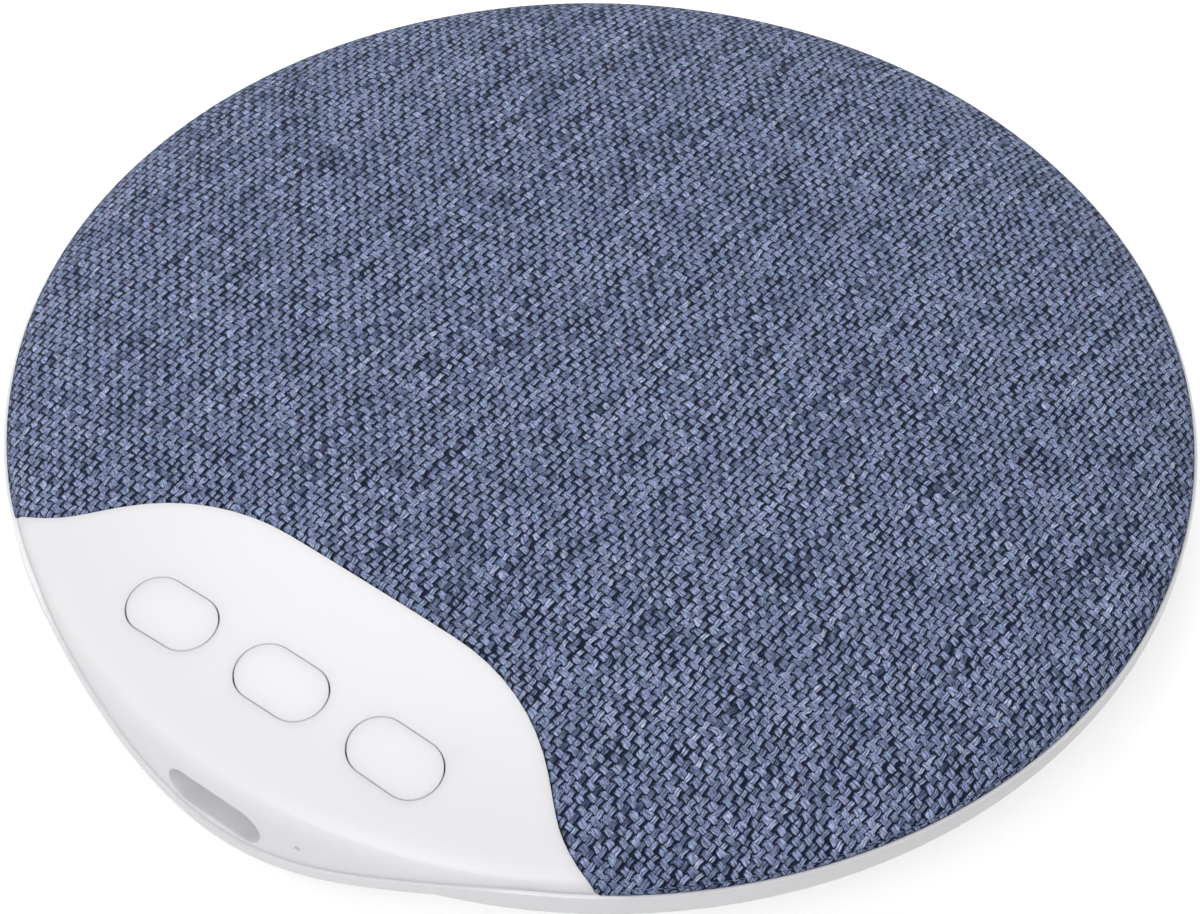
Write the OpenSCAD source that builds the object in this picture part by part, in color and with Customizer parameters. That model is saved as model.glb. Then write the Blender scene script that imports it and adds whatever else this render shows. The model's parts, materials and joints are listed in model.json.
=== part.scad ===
// Pillow speaker: a flat round loudspeaker under woven cloth, with a white
// panel of three push buttons and a charging slot in its deeper front wall.
// Z is up, the foot ring rests on z = 0, and the panel faces -Y.

/* [Disc] */
// Radius of the lower shell at its rim
rim_r = 57.5; // [50:0.5:65]
// Bare lip of the rim that shows outside the cloth
rim_lip = 0.3; // [0.2:0.05:0.5]
// Height of the rim's top, where the cloth and the panel end
rim_z = 10; // [9.6:0.1:11]
// Rise of the cloth's crown above the rim
crown_h = 5.6; // [5.2:0.1:7]
// How square the crown is across the disc
crown_width_exp = 2.9; // [2.4:0.1:3.4]
// How square the crown is in height
crown_rise_exp = 1.9; // [1.7:0.05:2.2]

/* [Lower shell] */
// Height of the shell's flat underside above the table
base_z = 0.5; // [0.3:0.1:0.8]
// Radius of the flat underside
base_r = 44; // [42:0.5:46]
// Wall thickness of the shell
shell_wall = 1.6; // [1.4:0.1:1.8]
// Radius that turns the underside up
base_arc_r = 12; // [10:0.5:13]
// Radius that turns the side in under the rim
rim_arc_r = 3.6; // [3:0.1:4]
// Height of the upright band below the rim
rim_band = 1.4; // [1:0.1:2]

/* [Front chin] */
// Half width of the chin where it has run out into the rim
chin_half_w = 30; // [28:0.5:32]
// Height of the rim's lower edge, from which the chin drops
chin_top_z = 7.55; // [7:0.05:8]
// Half width of the dip in the rim that the panel's skirt fills
dip_half_w = 29.5; // [28:0.5:31]
// Depth of that dip in the middle
dip_depth = 7; // [6.5:0.1:7.5]
// Rounding of the chin's lower edge
chin_round = 1.9; // [1.5:0.1:2]

/* [Panel outline] */
// Place of the straight crest of the panel's edge, from the centre
crest_y = 34.8; // [34:0.1:36]
// Half length of the straight crest
crest_half = 9.5; // [8:0.5:11]
// Radius of each shoulder
shoulder_r = 22; // [20:0.5:24]
// Turn of each shoulder
shoulder_turn = 43; // [40:1:45]
// Length of the straight ramp between shoulder and flare
ramp_len = 3.7; // [3:0.1:4.5]
// Radius of the flare that runs out to the rim
flare_r = 10.8; // [10:0.2:12]
// Slope at which the flare meets the rim
flare_end = 5; // [0:1:10]

/* [Buttons and ports] */
// Distance between the button centres
button_pitch = 12.87; // [12:0.1:13.5]
// Distance of the button row from the centre
button_y = 47.2; // [46.5:0.1:47.6]
// Length of a button window
window_l = 9.5; // [9:0.1:10]
// Width of a button window
window_w = 5.9; // [5.4:0.1:6.2]
// Gap round each button
button_gap = 0.15; // [0.15:0.05:0.3]
// Push of a button
button_travel = 0.3; // [0.2:0.05:0.4]
// Length of the charging slot
slot_l = 10.6; // [10:0.1:11]
// Height of the charging slot
slot_h = 4.5; // [4.2:0.1:4.8]
// Height of the slot's middle
slot_z = 5.85; // [5.7:0.05:6]
// Rounding of the slot's mouth
slot_lip = 0.3; // [0.3:0.1:0.9]
// Turn of the microphone hole round the disc, from the slot
mic_turn = 9.3; // [9:0.1:10]
// Height of the microphone hole
mic_z = 6.9; // [6.7:0.1:7]
// Diameter of the microphone hole
mic_hole_d = 0.6; // [0.5:0.1:1]

/* [Loudspeaker] */
// Distance of the driver's axis behind the centre
driver_y = 15; // [14.5:0.1:15.5]
// Radius of the driver's flange
driver_r = 20; // [19.5:0.1:20]
// Diameter of a hole in the grille
grille_hole_d = 1.9; // [1.4:0.1:2.2]
// Rings of holes round the middle one
grille_rings = 5; // [3:1:5]

/* [Battery] */
// Length of the cell
cell_l = 40; // [36:1:40]
// Width of the cell
cell_w = 25; // [20:1:25]
// Thickness of the cell
cell_t = 5; // [4:0.5:5]

/* [Hidden] */

$fn = 96;
big = 80;
eps = 0.01;

fabric_r = rim_r - rim_lip;
fabric_t = 0.7;
panel_wall = 1.6;
seam_wall_t = 1.4;
chin_drop = chin_top_z - base_z;
floor_z = base_z + shell_wall;

hem_out_r = 56.3;
hem_in_r = 55.6;
hem_z = 8.6;
hem_gap = 0.1;
thin_wall_r = 56.4;
ledge_z = 8.4;
ledge_r = 54.9;
ledge_h = 0.8;
dip_y = -46;
// The chin stays solid up to the face the panel's skirt stands on
chin_floor = max(2.6, rim_z - base_z - dip_depth + 0.3);
soft_edge_a = 12;
soft_edge_z = 8.9;

frame_h = 3.2;
frame_top_z = 12.7;
frame_under_z = 11.2;
frame_pocket_z = 11.5;
frame_pocket_r = 17.3;
frame_skirt_r = 55.5;
frame_wall = 1.5;
frame_seam = 0.85;
foam_r = 52;
tongue_w = 4.2;
tongue_half = 17;
tongue_z = 9.75;

screw_r = 1;
pilot_r = 1.02;
clear_r = 1.1;
head_r = 1.8;
head_h = 1.2;

ring_in_r = 35;
ring_out_r = 41;
ring_t = 1.2;
post_r = 2.6;
post_z = 4;
posts = [[34, 17], [-34, 17], [31, -22], [-31, -22]];
boss_z = 7.5;
bosses = [[24, -42], [-24, -42], [0, -40]];
panel_screw_at = [[-12, -32.8], [12, -32.8]];

board_z = 7.5;
board_t = 1;
board_top = board_z + board_t;
board_r = 52.8;
board_half = 27;
board_back = -38;
socket_y = -53.5;
socket_len = 7.3;
socket_l = 8.94;
socket_h = 3.26;
collar_end = -53.6;
collar_floor = -54.25;
collar_t = 0.9;

switch_w = 6;
switch_h = 1.8;
plunger_r = 1.6;
plunger_top = board_top + 2.4;
plunger_len = 0.95;
flange_t = 0.35;
flange_over = 0.4;

cell_y = -21;
cell_z = 2.6;
tape_t = 0.5;

mic_back = 53.4;
mic_len = 1.5;
mic_r = 1.8;
boot_r = 2.3;

flange_z = 9.6;
coil_in_r = 6.85;
coil_out_r = 7.2;
clamp_r = 21.6;
lead_r = 0.45;

white = [0.95, 0.95, 0.97];
cloth_blue = [0.36, 0.42, 0.54];
dark_plastic = [0.16, 0.17, 0.19];
board_green = [0.08, 0.33, 0.2];
steel = [0.72, 0.73, 0.75];
chip_black = [0.1, 0.1, 0.11];
cream = [0.92, 0.9, 0.82];
lead_red = [0.75, 0.12, 0.1];
lead_black = [0.08, 0.08, 0.09];

// Shared shapes

// Half outline of the crown: a superellipse, drawn in from the cloth's face by inset
function crown(inset, height = crown_h, step = 5, end = 0) = [
    for (a = [90 : -step : end])
        [(fabric_r - inset) * pow(1 - pow(sin(a), crown_rise_exp), 1 / crown_width_exp),
         rim_z + (height - inset) * sin(a)]];

// Crown with an upright edge that goes down to from_z
module crown_solid(inset, from_z, height = crown_h) {
    rotate_extrude()
        polygon(concat(crown(inset, height), [[fabric_r - inset, from_z], [0, from_z]]));
}

// The panel's crown, which turns down into its wall through a softer edge
function panel_outline(inset) =
    let (top = crown(inset, crown_h, 3, soft_edge_a),
         n = len(top),
         slope = (top[n - 1] - top[n - 2]) / (top[n - 1][0] - top[n - 2][0]),
         out = fabric_r - inset,
         knee = top[n - 1] + slope * (out - top[n - 1][0]))
    concat(top, [for (i = [1 : 8]) let (t = i / 8)
        (1 - t) * (1 - t) * top[n - 1] + 2 * t * (1 - t) * knee + t * t * [out, soft_edge_z]]);

module panel_dome(inset, from_z) {
    rotate_extrude()
        polygon(concat(panel_outline(inset), [[fabric_r - inset, from_z], [0, from_z]]));
}

// Right half of the panel's edge, offset by d towards the cloth
function seam_half(d) =
    let (turn = shoulder_turn,
         c1 = [crest_half, -crest_y - shoulder_r],
         p1 = c1 + shoulder_r * [sin(turn), cos(turn)],
         p2 = p1 + ramp_len * [cos(turn), -sin(turn)],
         c2 = p2 + flare_r * [sin(turn), cos(turn)],
         last = c2 - (flare_r - d) * [sin(flare_end), cos(flare_end)])
    concat(
        [for (a = [0 : turn / 8 : turn]) c1 + (shoulder_r + d) * [sin(a), cos(a)]],
        [for (a = [turn : -(turn - flare_end) / 6 : flare_end]) c2 - (flare_r - d) * [sin(a), cos(a)]],
        [last + 12 * [cos(flare_end), -sin(flare_end)]]);

// Plan of the panel's side of that edge
module panel_plan(d) {
    half = seam_half(d);
    n = len(half);
    polygon(concat([for (i = [n - 1 : -1 : 0]) [-half[i][0], half[i][1]]], half,
        [[half[n - 1][0], -big], [-half[n - 1][0], -big]]));
}

module panel_prism(d, from_z = -1, to_z = 20) {
    translate([0, 0, from_z]) linear_extrude(to_z - from_z) panel_plan(d);
}

// Bell curve that shapes the chin: 1 in the middle, 0 at its ends
function bell(x, half_w) = abs(x) < half_w ? 0.5 + 0.5 * cos(180 * x / half_w) : 0;
function chin_z(x) = chin_top_z - chin_drop * bell(x, chin_half_w);
function dip_z(x) = rim_z - dip_depth * bell(x, dip_half_w);
chin_xs = [-chin_half_w : 1 : chin_half_w];
dip_xs = [-dip_half_w : 1 : dip_half_w];

// Everything in front of the middle above the chin's edge, raised by up
module above_chin(up) {
    translate([0, -30, 0]) rotate([90, 0, 0]) linear_extrude(30)
        polygon(concat([for (x = chin_xs) [x, chin_z(x) + up]],
            [[chin_half_w, 9], [-chin_half_w, 9]]));
}

// What lies outside one tangent of the rounding along the chin's lower edge
module outside_tangent(tilt) {
    rotate([tilt, 0, 0]) translate([0, 0, 50 * sin(tilt) - 5])
        linear_extrude(8 * sin(tilt) + 12 * cos(tilt) + 5)
            polygon(concat([for (x = chin_xs)
                [x, cos(tilt) * (chin_round - sqrt(rim_r * rim_r - x * x))
                    + sin(tilt) * (chin_z(x) + chin_round) - chin_round]],
                [[chin_half_w, -big], [-chin_half_w, -big]]));
}

// Everything in front above the dip's edge, raised by up
module dip_space(up) {
    translate([0, dip_y, 0]) rotate([90, 0, 0]) linear_extrude(20)
        polygon(concat([for (x = dip_xs) [x, dip_z(x) + up]],
            [[dip_half_w, 12], [-dip_half_w, 12]]));
}

// Two arcs and their common tangent: the shell's side from its flat base to its rim
function side_arcs(inset) =
    let (c_base = [base_r, base_z + base_arc_r],
         c_rim = [rim_r - rim_arc_r, rim_z - rim_band],
         d = c_rim - c_base,
         turn = atan2(d[1], d[0]) - acos((base_arc_r - rim_arc_r) / norm(d)))
    concat(
        [for (i = [0 : 6]) let (a = -90 + (turn + 90) * i / 6)
            c_base + (base_arc_r - inset) * [cos(a), sin(a)]],
        [for (i = [0 : 9]) let (a = turn - turn * i / 9)
            c_rim + (rim_arc_r - inset) * [cos(a), sin(a)]]);

module bowl(inset, to_z) {
    rotate_extrude()
        polygon(concat([[0, base_z + inset]], side_arcs(inset),
            [[rim_r - inset, to_z], [0, to_z]]));
}

module disc_at(r, z, h) {
    translate([0, 0, z]) cylinder(r = r, h = h);
}

module ring_at(r_in, r_out, z, h) {
    translate([0, 0, z]) difference() {
        cylinder(r = r_out, h = h);
        translate([0, 0, -1]) cylinder(r = r_in, h = h + 2);
    }
}

module at_each(places) {
    for (p = places) translate([p[0], p[1], 0]) children();
}

module box_at(x, y, z, size) {
    translate([x - size[0] / 2, y - size[1] / 2, z]) cube(size);
}

module stadium(l, w) {
    square([l - w, w], center = true);
    for (s = [-1, 1]) translate([s * (l - w) / 2, 0]) circle(d = w);
}

// Stadium bar that runs along Y between two places
module stadium_bar(l, w, y_from, y_to, z) {
    translate([0, y_to, z]) rotate([90, 0, 0]) linear_extrude(y_to - y_from) stadium(l, w);
}

// Pan head screw, head down, with its seat at z
module screw_up(z, len) {
    translate([0, 0, z - head_h]) cylinder(r = head_r, h = head_h);
    translate([0, 0, z - eps]) cylinder(r = screw_r, h = len + eps);
}

// Smooth curve through the route's points
function spline_point(p, i, t) =
    let (a = p[max(i - 1, 0)], b = p[i], c = p[i + 1], d = p[min(i + 2, len(p) - 1)])
    0.5 * (2 * b + (c - a) * t + (2 * a - 5 * b + 4 * c - d) * t * t
        + (3 * b - a - 3 * c + d) * t * t * t);
function spline(p, n) = concat(
    [for (i = [0 : len(p) - 2], k = [0 : n - 1]) spline_point(p, i, k / n)], [p[len(p) - 1]]);
function unit(v) = v / norm(v);

// Lead of round section swept along a route that never stands upright
module lead(route, r, n = 3, sides = 8) {
    path = spline(route, n);
    last = len(path) - 1;
    rings = [for (i = [0 : last])
        let (t = unit(path[min(i + 1, last)] - path[max(i - 1, 0)]),
             side = unit(cross(t, [0, 0, 1])),
             up = cross(side, t))
        for (k = [0 : sides - 1])
            path[i] + r * (cos(360 * k / sides) * side + sin(360 * k / sides) * up)];
    walls = [for (i = [0 : last - 1], k = [0 : sides - 1])
        let (a = i * sides + k, b = i * sides + (k + 1) % sides) each
            [[a, b, b + sides], [a, b + sides, a + sides]]];
    caps = [for (k = [1 : sides - 2]) each
        [[0, k + 1, k], [last * sides, last * sides + k, last * sides + k + 1]]];
    polyhedron(points = rings, faces = concat(walls, caps), convexity = 6);
}

// Casing

module shell_outside() {
    bowl(0, rim_z);
    difference() {
        intersection() {
            disc_at(rim_r, base_z, rim_z - base_z);
            above_chin(0);
        }
        for (tilt = [15 : 15 : 75]) outside_tangent(tilt);
    }
}

module shell_hollow() {
    bowl(shell_wall, rim_z + 1);
    disc_at(thin_wall_r, ledge_z, 3);
    intersection() {
        disc_at(rim_r - shell_wall, 0, 20);
        above_chin(chin_floor);
    }
}

// The lower shell: a bowl whose front runs out into a deeper chin
module bottom_shell() {
    color(white) difference() {
        union() {
            difference() {
                shell_outside();
                shell_hollow();
            }
            ring_at(ledge_r, rim_r - 1, ledge_z - ledge_h, ledge_h);
            intersection() {
                shell_outside();
                union() {
                    at_each(posts) disc_at(post_r + 0.6, base_z + 0.5, post_z - base_z - 0.5);
                    at_each(bosses) disc_at(post_r, base_z + 0.5, boss_z - base_z - 0.5);
                }
            }
            cell_cradle();
            shell_ribs();
        }
        dip_space(0);
        ring_at(ring_in_r - 0.1, ring_out_r + 0.1, base_z - 1, ring_t - base_z + 1);
        at_each(posts) {
            disc_at(clear_r, 0, 10);
            disc_at(head_r + 0.3, 0, ring_t + head_h + 0.1);
        }
        at_each(bosses) disc_at(pilot_r, 3.4, 10);
    }
}

// Four corners that hold the cell
module cell_cradle() {
    t = 0.9;
    leg = 6;
    for (sx = [-1, 1], sy = [-1, 1])
        translate([sx * (cell_l / 2 + 0.2), cell_y + sy * (cell_w / 2 + 0.2), floor_z - 0.2])
            scale([sx, sy, 1]) {
                translate([0, t - leg, 0]) cube([t, leg, 3.2]);
                translate([t - leg, 0, 0]) cube([leg, t, 3.2]);
            }
}

// Low ribs that stiffen the floor behind and beside the driver
module shell_ribs() {
    for (a = [-15, 55, 90, 125, 195])
        rotate([0, 0, a]) translate([39, -0.5, floor_z - 0.3]) cube([6.5, 1, 1.6]);
}

// Soft ring that keeps the disc from sliding
module foot_ring() {
    edge = 0.3;
    color("dimgray") rotate_extrude()
        polygon([[ring_in_r + edge, 0], [ring_out_r - edge, 0], [ring_out_r, edge],
            [ring_out_r, ring_t], [ring_in_r, ring_t], [ring_in_r, edge]]);
}

module slot_bar(from_y, to_y, grow) {
    stadium_bar(slot_l + 2 * grow, slot_h + 2 * grow, from_y, to_y, slot_z);
}

// Section of the rounding at the slot's mouth, from the slot's middle line outwards
module slot_lip_section() {
    difference() {
        square([slot_h / 2 + slot_lip, slot_lip + 1]);
        translate([slot_h / 2 + slot_lip, 0]) circle(r = slot_lip);
    }
}

// Rounds off the mouth of the slot
module slot_lip_cut() {
    half = (slot_l - slot_h) / 2;
    translate([0, slot_lip - fabric_r, slot_z]) rotate([90, 0, 0]) {
        for (s = [-1, 1]) translate([s * half, 0, 0]) rotate_extrude() slot_lip_section();
        for (s = [0, 180]) rotate([0, 0, s]) translate([-half, 0, 0])
            rotate([90, 0, 90]) linear_extrude(2 * half) slot_lip_section();
    }
}

// Along the radius through the microphone hole, with +Z pointing outwards
module at_mic(r) {
    rotate([0, 0, mic_turn]) translate([0, -r, mic_z]) rotate([90, 0, 0]) children();
}

// White panel: crown, skirt, seam wall, screw tongue and slot collar in one moulding
module control_panel() {
    color(white) difference() {
        union() {
            intersection() {
                difference() {
                    panel_dome(0, base_z);
                    crown_solid(panel_wall, base_z - 1);
                }
                panel_prism(0);
            }
            intersection() {
                panel_dome(0.05, base_z);
                difference() {
                    panel_prism(0, rim_z);
                    panel_prism(-seam_wall_t);
                }
            }
            panel_tongue();
            intersection() {
                disc_at(fabric_r - 0.5, 0, 12);
                slot_bar(-big, collar_end, collar_t);
            }
        }
        below_skirt();
        button_windows(window_l, window_w, 10.5, 20);
        slot_bar(-big, collar_floor, 0);
        stadium_bar(socket_l + 0.3, socket_h + 0.3, -big, -40, slot_z);
        slot_lip_cut();
        at_mic(40) cylinder(d = mic_hole_d, h = 30);
        translate([led_at[0], led_at[1], 8]) cylinder(r = 0.9, h = 4.9);
    }
}

// What lies below the panel: all under the rim but its skirt, tongue and collar
module below_skirt() {
    difference() {
        translate([-big, -big, -1]) cube([2 * big, big - 30, rim_z + 1]);
        intersection() {
            dip_space(0.05);
            disc_at(rim_r, -2, 20);
        }
        translate([-tongue_half - 1, -50, 0]) cube([2 * tongue_half + 2, 30, 20]);
    }
}

module panel_tongue() {
    difference() {
        intersection() {
            translate([0, 0, tongue_z]) linear_extrude(frame_under_z - tongue_z)
                difference() {
                    panel_plan(tongue_w);
                    panel_plan(-seam_wall_t + 0.4);
                }
            translate([-tongue_half, -big, 0]) cube([2 * tongue_half, big, 20]);
        }
        at_each(panel_screw_at) disc_at(2.05, 0, 20);
    }
}

led_at = [16.9, -43.5];
button_x = [-button_pitch, 0, button_pitch];

module button_windows(l, w, from_z, to_z) {
    for (x = button_x) translate([x, -button_y, from_z]) linear_extrude(to_z - from_z)
        stadium(l, w);
}

// Soft parts

// Stretched cloth with its hem tucked inside the rim and down along the panel
module fabric_cover() {
    color(cloth_blue) difference() {
        rotate_extrude()
            polygon(concat(crown(0), [[hem_out_r, rim_z], [hem_out_r, hem_z], [0, hem_z]]));
        panel_prism(hem_gap);
        difference() {
            intersection() {
                crown_solid(fabric_t, 0);
                disc_at(hem_in_r, 0, 30);
            }
            intersection() {
                panel_prism(frame_seam - hem_gap);
                disc_at(big, frame_under_z + 0.15, 10);
            }
        }
    }
}

// Open foam between the cloth and the frame, thinner towards the edge
module foam_pad() {
    color("gray") difference() {
        intersection() {
            crown_solid(fabric_t, rim_z);
            disc_at(foam_r, 0, 30);
        }
        frame_body();
        panel_prism(frame_seam + 0.4);
    }
}

// Frame

// Outside of the frame inside the foam's edge: a crown cut flat on top
module frame_body() {
    intersection() {
        crown_solid(fabric_t, 5, frame_h + fabric_t);
        disc_at(80, 0, frame_top_z);
    }
}

module frame_hollow() {
    intersection() {
        crown_solid(fabric_t + frame_wall + 1, 0, frame_h + fabric_t + 1);
        disc_at(80, -1, frame_under_z + 1);
    }
}

// Sound frame under the foam, with the grille, four screw posts and a driver cradle
module grille_frame() {
    color(dark_plastic) difference() {
        union() {
            difference() {
                union() {
                    intersection() {
                        frame_body();
                        disc_at(foam_r + 1, ledge_z, 10);
                    }
                    intersection() {
                        crown_solid(fabric_t, ledge_z);
                        ring_at(foam_r, frame_skirt_r, ledge_z, 10);
                    }
                }
                frame_hollow();
                panel_prism(frame_seam);
            }
            at_each(posts) disc_at(post_r, post_z, frame_top_z - post_z - 0.6);
            at_each(panel_screw_at) disc_at(1.95, tongue_z, frame_top_z - tongue_z - 0.6);
            translate([0, driver_y, 0]) {
                ring_at(driver_r + 0.25, driver_r + 1.3, flange_z, frame_top_z - flange_z - 0.6);
                driver_bosses() disc_at(2, flange_z, frame_top_z - flange_z - 0.6);
            }
        }
        at_each(posts) disc_at(pilot_r, 0, 10.8);
        at_each(panel_screw_at) disc_at(pilot_r, 0, 12.2);
        translate([0, driver_y, 0]) {
            disc_at(frame_pocket_r, 0, frame_pocket_z);
            disc_at(driver_r + 0.1, 0, frame_under_z);
            driver_bosses() disc_at(pilot_r, 0, 12.2);
            grille_holes();
        }
    }
}

module driver_bosses() {
    for (a = [90, 210, 330]) rotate([0, 0, a]) translate([clamp_r, 0, 0]) children();
}

// One hole in the middle and rings of six more each
module grille_holes() {
    spacing = 3.3;
    disc_at(grille_hole_d / 2, 10, 5);
    for (k = [1 : grille_rings], i = [0 : 6 * k - 1])
        rotate([0, 0, 60 * i / k]) translate([k * spacing, 0, 10])
            cylinder(d = grille_hole_d, h = 5, $fn = 24);
}

// Buttons and switches

// Cap with a crowned top flush with the panel and a flange that the panel holds back
module button_cap(x) {
    color(white) intersection() {
        panel_dome(0, plunger_top - 4);
        translate([x, -button_y, plunger_top]) {
            linear_extrude(8) stadium(window_l - 2 * button_gap, window_w - 2 * button_gap);
            linear_extrude(flange_t)
                stadium(window_l + 2 * flange_over, window_w + 2 * flange_over);
        }
    }
}

module switch_plunger(x) {
    color("black") translate([x, -button_y, plunger_top - plunger_len])
        cylinder(r = plunger_r, h = plunger_len);
}

// Low push switch: a square case with four legs and a round well for the plunger
module switch_case(x) {
    leg_w = 0.7;
    color(steel) translate([x, -button_y, board_top]) difference() {
        union() {
            box_at(0, 0, 0, [switch_w, switch_w, switch_h - 0.3]);
            box_at(0, 0, 0, [switch_w - 0.6, switch_w - 0.6, switch_h]);
            for (sx = [-1, 1], sy = [-1, 1])
                box_at(sx * 2.2, sy * (switch_w / 2 + 0.3), 0, [leg_w, 0.7, 0.25]);
        }
        disc_at(plunger_r + 0.1, 1, 3);
    }
}

// Electronics

module main_board() {
    color(board_green) translate([0, 0, board_z]) difference() {
        linear_extrude(board_t) difference() {
            intersection() {
                circle(r = board_r);
                translate([-board_half, -big]) square([2 * board_half, big + board_back]);
            }
            for (s = [-1, 1]) translate([s * board_half, board_back]) rotate(45)
                square([3, 3], center = true);
        }
        at_each(bosses) disc_at(clear_r, -1, 4);
    }
}

module usb_outline(wall) {
    stadium(socket_l - 2 * wall, socket_h - 2 * wall);
}

// Drawn steel shell of the charging socket, hung under the board, closed at the back
module usb_socket() {
    color(steel) {
        translate([0, socket_y + socket_len, slot_z]) rotate([90, 0, 0]) difference() {
            linear_extrude(socket_len) usb_outline(0);
            translate([0, 0, 0.4]) linear_extrude(socket_len) usb_outline(0.3);
        }
        for (sx = [-1, 1], y = [-51.6, -47.6])
            box_at(sx * 3.2, y, slot_z + 1.5, [1, 0.8, board_z - slot_z - 1.5]);
    }
}

module usb_tongue() {
    color(chip_black) {
        box_at(0, -49.8, slot_z - 0.35, [6.7, 6.2, 0.7]);
        box_at(0, -47.1, slot_z - 1.2, [6, 0.8, 2.4]);
    }
}

module usb_contacts() {
    color("gold") for (i = [0 : 11], s = [-1, 1])
        box_at(-2.75 + 0.5 * i, -50.6, slot_z + s * 0.4 - 0.05, [0.25, 4, 0.1]);
}

module chip(x, y, w, l, t) {
    color(chip_black) box_at(x, y, board_top, [w, l, t]);
}

module board_inductors() {
    color("dimgray") for (x = [13.4, 18.4])
        translate([x, -41.2, board_top]) {
            box_at(0, 0, 0, [4, 3.4, 1.2]);
            disc_at(1.5, 1.2, 0.5);
        }
}

module board_capacitors() {
    color("tan") {
        for (i = [0 : 4]) box_at(-21.4 + 2.2 * i, -46.4, board_z - 0.8, [0.8, 1.6, 0.8]);
        for (i = [0 : 4]) box_at(8 + 2.2 * i, -47.6, board_z - 0.8, [0.8, 1.6, 0.8]);
        for (x = [-6.4, 6.4]) box_at(x, -50.9, board_top, [1.2, 0.6, 0.6]);
    }
}

module status_led() {
    color("white") box_at(led_at[0], led_at[1], board_top, [1.6, 0.8, 0.6]);
}

// Two pin socket under the board that opens sideways, at x on the side of s
module lead_socket(s) {
    color(cream) difference() {
        box_at(s * 13.25, -40.5, board_z - 3.2, [5.5, 5, 3.2]);
        box_at(s * 14.5, -40.5, board_z - 2.7, [4, 3.8, 2.2]);
    }
}

module lead_plug(s) {
    color(cream) box_at(s * 15.1, -40.5, board_z - 2.6, [4.8, 3.6, 2]);
}

plug_face = 17.5;
plug_z = board_z - 1.6;

module microphone() {
    color(steel) at_mic(mic_back) cylinder(r = mic_r, h = mic_len);
}

// Rubber cup that seals the microphone to the hole in the wall
module microphone_boot() {
    color("dimgray") at_mic(mic_back - 0.2) difference() {
        cylinder(r = boot_r, h = 2.25);
        translate([0, 0, -1]) cylinder(r = mic_r, h = 1 + mic_len + 0.2);
        cylinder(r = 0.6, h = 3);
    }
}

module microphone_leads() {
    color("firebrick") rotate([0, 0, mic_turn]) for (s = [-1, 1])
        lead([[s * 0.8, 0.1 - mic_back, mic_z - 0.6], [s * 0.8, 1 - mic_back, mic_z - 0.7],
            [s * 0.9, 2 - mic_back, mic_z - 0.4], [s * 1, 2.8 - mic_back, board_z - 0.35]],
            0.3, 2, 6);
}

// Battery

module battery_cell() {
    side_r = cell_t / 2;
    color([0.75, 0.76, 0.78]) translate([-cell_l / 2, cell_y, cell_z + side_r])
        rotate([90, 0, 90]) linear_extrude(cell_l) {
            square([cell_w - cell_t, cell_t], center = true);
            for (s = [-1, 1]) translate([s * (cell_w - cell_t) / 2, 0]) circle(r = side_r);
        }
}

module battery_board() {
    color(board_green) translate([cell_l / 2, cell_y, cell_z + cell_t / 2]) {
        box_at(1.9, 0, -0.4, [3, 15, 0.8]);
        box_at(0.3, -4, -0.2, [0.6, 3, 0.4]);
        box_at(0.3, 4, -0.2, [0.6, 3, 0.4]);
        box_at(1.9, 3, 0.4, [2, 3, 0.9]);
    }
}

module battery_tape() {
    color("khaki") box_at(0, cell_y, floor_z, [cell_l - 8, cell_w - 8, tape_t]);
}

battery_pad_z = cell_z + cell_t / 2 + 0.4 + lead_r;

module battery_lead_red() {
    color(lead_red) lead([[plug_face, -39.75, plug_z], [19.2, -39.6, plug_z], [21, -38, 5.8],
        [22, -35.5, 5.8], [22.3, -32, 5.8], [22.1, -29, battery_pad_z],
        [21.9, -26.5, battery_pad_z]], lead_r);
}

module battery_lead_black() {
    color(lead_black) lead([[plug_face, -41.25, plug_z], [19.6, -41, plug_z], [22, -38.7, 5.8],
        [23.5, -35.8, 5.8], [23.7, -32, 5.8], [23.4, -28, 5.9],
        [22.7, -25, battery_pad_z], [22.2, -22.8, battery_pad_z]], lead_r);
}

terminal_x = -21;
terminal_z = 8.4;

module speaker_lead_red() {
    color(lead_red) lead([[terminal_x, 13.8, terminal_z], [-22.6, 13.5, 7.9], [-24.6, 10.5, 5.4],
        [-25.2, 4, 3.4], [-25, -8, 2.8], [-24.4, -20, 2.8], [-24.3, -31, 3.4], [-22.8, -37, 5],
        [-19.8, -39.7, plug_z], [-plug_face, -39.75, plug_z]], lead_r, 4);
}

module speaker_lead_black() {
    color(lead_black) lead([[terminal_x, 16.2, terminal_z], [-23, 15.8, 7.9], [-25.8, 12, 5.4],
        [-26.6, 4, 3.4], [-26.4, -8, 2.8], [-25.8, -20, 2.8], [-25.7, -31.4, 3.4],
        [-23.7, -37.2, 5], [-20.8, -40.6, plug_z], [-plug_face, -41.25, plug_z]], lead_r, 4);
}

// Driver, drawn round its own axis

module on_driver() {
    translate([0, driver_y, 0]) children();
}

// Cup with a stepped flange, a spider ledge and six vents in its floor
module driver_basket() {
    color(steel) on_driver() difference() {
        rotate_extrude() polygon([[8.42, 6.2], [17.2, 6.2], [17.2, flange_z],
            [driver_r, flange_z], [driver_r, flange_z + 1], [17.5, flange_z + 1],
            [17.5, flange_z + 0.7], [16.4, flange_z + 0.7], [16.4, 6.8], [12.8, 6.8],
            [12.8, 7.9], [11.9, 7.9], [11.9, 6.8], [8.42, 6.8]]);
        for (a = [0 : 60 : 300]) rotate([0, 0, a + 30]) translate([14.6, 0, 5])
            cylinder(r = 1.5, h = 3);
    }
}

module driver_yoke() {
    color(steel) on_driver() rotate_extrude()
        polygon([[0, 3], [8, 3], [8.4, 3.4], [8.4, 6.8], [7.5, 6.8], [7.5, 3.8], [0, 3.8]]);
}

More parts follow.
